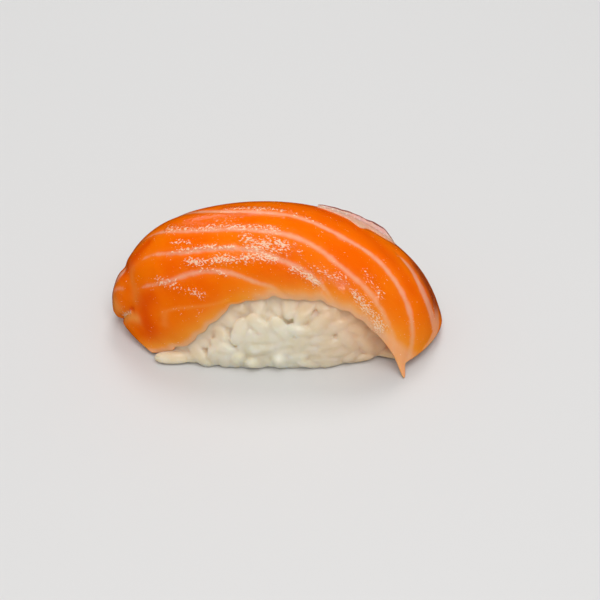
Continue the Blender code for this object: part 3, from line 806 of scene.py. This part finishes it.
def pressed(points):
    """Flattens what stands out: half of what is over a set height over the core is taken off, and under
    the slice and near its edge whatever is too high."""
    flat = points.reshape(-1, 3)
    height, out = over_core(flat)
    flat = flat - out * (np.clip(height - PRESS_START, 0, PRESS_MOST) * PRESS_SHARE)[:, None]
    for part in np.array_split(np.arange(len(flat)), 40):
        rise, up, past, _ = under_slice(flat[part])
        flat[part] -= up * too_high(rise, past, 0.2)[:, None] * np.where(past > 0, 0.7, 1.0)[:, None]
    return flat.reshape(points.shape)


def plant_grains(draw):
    """Middles and long directions of grains that lie flat on the core, turned any way. None are where
    the slice hides them."""
    centre, axis = [], []
    rim = slice_base(np.linspace(0, 1, 200), np.array([-1.0, 1.0])).reshape(-1, 3)
    for spacing, level, tuck, seed in LAYERS:
        place, run, loop, out = spread(PLACES, spacing, seed)
        angle = draw.uniform(0, math.pi, (len(place), 1))
        away = np.clip(squares(place, rim), 0, None).min(1)[:, None]
        lift = level + draw.uniform(-LEVEL_SPREAD, LEVEL_SPREAD, (len(place), 1))
        centre.append(place + out * (lift - tuck * np.exp(-away / TUCK_REACH**2)))
        tilt = draw.normal(0, TILT_SPREAD, (len(place), 1))
        axis.append(run * np.cos(angle) + loop * np.sin(angle) + out * tilt)
    centre, axis = np.concatenate(centre), np.concatenate(axis)
    axis /= np.linalg.norm(axis, axis=1, keepdims=True)
    rise, _, _, steps = under_slice(centre)
    shown = (steps <= HIDDEN_STEPS) | (rise <= -HIDDEN_DEPTH)
    return centre[shown], axis[shown]


def tube_faces(rings, sides, first, low, high):
    """Triangles of a closed tube: its rings' points are numbered from the first on, and each end is one
    point."""
    ring = first + np.arange(rings * sides).reshape(rings, sides)
    after = np.roll(ring, -1, axis=1)
    middle = np.stack([ring[:-1], after[:-1], after[1:], ring[1:]], -1).reshape(-1, 4)
    low_end = np.stack([np.full(sides, low), after[0], ring[0]], -1)
    high_end = np.stack([np.full(sides, high), ring[-1], after[-1]], -1)
    return np.concatenate([middle[:, [0, 1, 2]], middle[:, [0, 2, 3]], low_end, high_end])


def build_grains():
    """One grain: rings along X whose radius is (1 - |x|^2.7)^(1/2.1), a little thinner towards one end
    and bent sideways by a parabola, then turned and moved to its place."""
    draw = np.random.default_rng(5)
    centre, axis = plant_grains(draw)
    length = draw.uniform(*GRAIN_LENGTH, len(centre))
    width = draw.uniform(*GRAIN_WIDTH, len(centre))
    half = (length - width) / 2
    centre, axis, out, free = settle_grains(centre, axis, half, width / 2 * BEAD_RADIUS)
    loose = len(LOOSE_GRAINS)
    loose_axis = LOOSE_GRAINS[:, 1] / np.linalg.norm(LOOSE_GRAINS[:, 1], axis=1, keepdims=True)
    centre = np.concatenate([centre[free], LOOSE_GRAINS[:, 0]])
    axis = np.concatenate([axis[free], loose_axis])
    out = np.concatenate([out[free], np.tile(LOOSE_UP, (loose, 1))])
    length = np.concatenate([length[free], np.full(loose, LOOSE_LENGTH)])
    width = np.concatenate([width[free], np.full(loose, LOOSE_WIDTH)])
    count = len(centre)

    rings, sides = GRAIN_GRID
    x = np.sin(np.linspace(-1, 1, rings + 2)[1:-1] * math.pi / 2)
    turn = np.arange(sides) * 2 * math.pi / sides
    radius = (1 - np.abs(x) ** 2.7) ** (1 / 2.1)
    one = np.stack([
        np.repeat(x, sides),
        (radius[:, None] * np.cos(turn)).ravel(),
        (radius[:, None] * np.sin(turn)).ravel(),
    ], -1)
    one = np.concatenate([[[-1, 0, 0]], one, [[1, 0, 0]]])
    taper = draw.uniform(*GRAIN_TAPER, (count, 1))
    bend = draw.uniform(*GRAIN_BEND, (count, 1))
    flat = draw.uniform(*GRAIN_HEIGHT, (count, 1))
    body = np.broadcast_to(one, (count, *one.shape)).copy()
    body[..., 1:] *= (1 + taper * body[..., 0])[..., None]
    body[..., 0] *= length[:, None] / 2
    body[..., 1] = body[..., 1] * width[:, None] / 2 + bend * (one[None, :, 0] ** 2 - 0.4)
    body[..., 2] *= width[:, None] / 2 * flat
    broad = np.cross(out, axis)
    broad /= np.linalg.norm(broad, axis=1, keepdims=True)
    points = centre[:, None, :] + body @ np.stack([axis, broad, np.cross(axis, broad)], 1)
    points[:-loose] = pressed(points[:-loose])
    points[..., 2] = np.maximum(points[..., 2], FLOOR_GAP)
    faces = tube_faces(rings, sides, 1, 0, len(one) - 1)
    faces = (faces[None] + np.arange(count)[:, None, None] * len(one)).reshape(-1, 3)
    return points.reshape(-1, 3), faces


def build_core():
    """The core surface, inset, as one closed grid with a point at each end."""
    rows, sides = CORE_GRID
    along = np.sin(np.linspace(-1, 1, rows + 2) * math.pi / 2)
    u, v = np.meshgrid(along[1:-1], np.arange(sides) * 2 * math.pi / sides, indexing="ij")
    ends = core_surface(along[[0, -1]], np.zeros(2), CORE_INSET)
    points = np.concatenate([core_surface(u, v, CORE_INSET).reshape(-1, 3), ends])
    return points, tube_faces(rows, sides, 0, rows * sides, rows * sides + 1)[:, ::-1]


def build_rice():
    """Grains and core as one mesh, fused on a grid of small cubes and smoothed, so that the grains
    stick to each other where they touch."""
    (points, faces), (core_points, core_faces) = build_grains(), build_core()
    faces = np.concatenate([faces, core_faces + len(points)])
    rice = mesh_object("rice", np.concatenate([points, core_points]), faces)
    fuse = rice.modifiers.new("fuse", "REMESH")
    fuse.mode, fuse.voxel_size, fuse.use_smooth_shade = "VOXEL", FUSE_SIZE * MM, True
    soften = rice.modifiers.new("soften", "SMOOTH")
    soften.factor, soften.iterations = 0.5, 5
    fused = bpy.data.meshes.new_from_object(rice.evaluated_get(bpy.context.evaluated_depsgraph_get()))
    rice.modifiers.clear()
    rice.data = fused
    flat = np.empty(len(fused.vertices) * 3, np.float32)
    fused.vertices.foreach_get("co", flat)
    rim = slice_base(np.linspace(0, 1, 160), np.array([-1.0, -0.9, 0.9, 1.0])).reshape(-1, 3)
    points = flat.reshape(-1, 3) / MM - SHIFT
    away = np.concatenate([squares(part, rim).min(1) for part in np.array_split(points, 60)])
    # Painted orange bounce light from the slice.
    right_bounce = np.clip((points[:, 0] - BOUNCE_RIGHT_START) / BOUNCE_RIGHT_RUN, 0, 1)
    tint = np.exp(-away / BOUNCE_REACH**2) * BOUNCE_SHARE + right_bounce * BOUNCE_RIGHT_SHARE
    point_values(rice, "painted_slice_bounce", tint)
    # Painted shade in the gaps between grains.
    deep = np.clip((-GAP_SHADE_START - over_core(points)[0]) / GAP_SHADE_RUN, 0, 1)
    point_values(rice, "gap", deep * (1 - np.exp(-away / GAP_SHADE_REACH**2)))
    return rice


rice = build_rice()
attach(rice, "root")
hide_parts("rice_block")


# Block of rice, its look
# Moist, warm-white cooked grains that let a little light through and shine softly.
def rice_material():
    """Two warm whites in clouds, with the slice's orange bounce light painted on near it and painted
    shade in the gaps.
    """
    m = Nodes("cooked_rice")
    place = m.value("TexCoord", 3)
    tint = m.between(m.noise(place, 260.0, 1), 0.35, 0.65)
    cloud = m.noise(place, 700.0, 2)
    look = m.mix(tint, colour(229, 219, 193), colour(236, 229, 209))
    look = m.mix(m.between(cloud, 0.4, 0.75) * 0.35, look, colour(241, 238, 226))
    # Painted orange bounce light from the slice.
    look = m.mix(m.attribute("painted_slice_bounce") * 0.75, look, colour(232, 184, 140))
    # Painted shade in the gaps.
    look = m.mix(m.attribute("gap") * 0.6, look, colour(176, 160, 98))
    normal = m.bump(m.noise(place, 1500.0, 2), 0.25, 0.0002)
    return m.surface(m.translucent(0.0035, (1.0, 0.85, 0.6), Subsurface_Weight=1.0, Base_Color=look,
                                   Roughness=0.42, IOR=1.36, Coat_Weight=0.15, Coat_Roughness=0.2,
                                   Normal=normal))


rice.data.materials.append(rice_material())

# Camera, floor and light
# The view looks down at 44 degrees from the front. The floor is pale, the main lights are large and
# soft, and small ones make the glints on the wet slice.
CAMERA_AIM, CAMERA_DISTANCE = np.array([5.2, 8.5, 0.0]), 400.0
CAMERA_ELEVATION, CAMERA_LENS = math.radians(43.7), 109.2
FLOOR_HALF, LIGHT_AIM = 1500.0, (0, 0, 0.01)


def place_camera():
    """It looks down at the aim from the front."""
    camera = bpy.data.cameras.new("camera")
    camera.lens, camera.sensor_width, camera.clip_start = CAMERA_LENS, 36, 0.01
    obj = bpy.data.objects.new("camera", camera)
    back = np.array([0, -math.cos(CAMERA_ELEVATION), math.sin(CAMERA_ELEVATION)])
    obj.location = (CAMERA_AIM + SHIFT + back * CAMERA_DISTANCE) * MM
    obj.rotation_euler = (math.pi / 2 - CAMERA_ELEVATION, 0, 0)
    bpy.context.scene.collection.objects.link(obj)
    bpy.context.scene.camera = obj


def lay_floor():
    """A flat square of 3 m."""
    corners = np.array([[-1, -1, 0], [1, -1, 0], [1, 1, 0], [-1, 1, 0]])
    floor = mesh_object("floor", corners * FLOOR_HALF, [[0, 1, 2, 3]])
    m = Nodes("floor")
    shader = m.value("BsdfPrincipled", 0, None, Base_Color=(0.69, 0.685, 0.68, 1), Roughness=0.5)
    floor.data.materials.append(m.surface(shader))
    floor.visible_glossy = False


def add_light(name, place, size, watts):
    """A white rectangle of light that faces the piece; place and size are in metres."""
    light = bpy.data.lights.new(name, "AREA")
    light.shape, light.energy = "RECTANGLE", watts
    light.size, light.size_y = size
    obj = bpy.data.objects.new(name, light)
    obj.location = place
    direction = Vector(LIGHT_AIM) - Vector(place)
    obj.rotation_euler = direction.to_track_quat("-Z", "Y").to_euler()
    bpy.context.scene.collection.objects.link(obj)
    return obj


place_camera()
lay_floor()
for name, place, size, watts in (
    ("softbox", (0.05, -0.38, 0.90), (0.6, 0.6), 5.2),
    ("softbox_back", (0.05, 0.45, 0.75), (0.3, 0.3), 2.0),
):
    softbox = add_light(name, place, size, watts)
    softbox.visible_glossy = False
for name, place, size, watts in (
    ("glint_top", (0.0, 0.0, 0.95), (0.10, 0.10), 2.5),
    ("glint_front", (0.30, -0.90, 0.32), (0.10, 0.10), 3.0),
    ("glint_back", (-0.15, 1.0, 0.26), (0.5, 0.14), 0.4),
):
    glint = add_light(name, place, size, watts)
    glint.visible_diffuse = False
world = bpy.data.worlds.new("studio")
bpy.context.scene.world = world
world.use_nodes = True
background = world.node_tree.nodes["Background"]
background.inputs["Color"].default_value = (1, 1, 1, 1)
background.inputs["Strength"].default_value = 0.46
world.cycles_visibility.glossy = False
bpy.context.scene.view_settings.view_transform = "Standard"
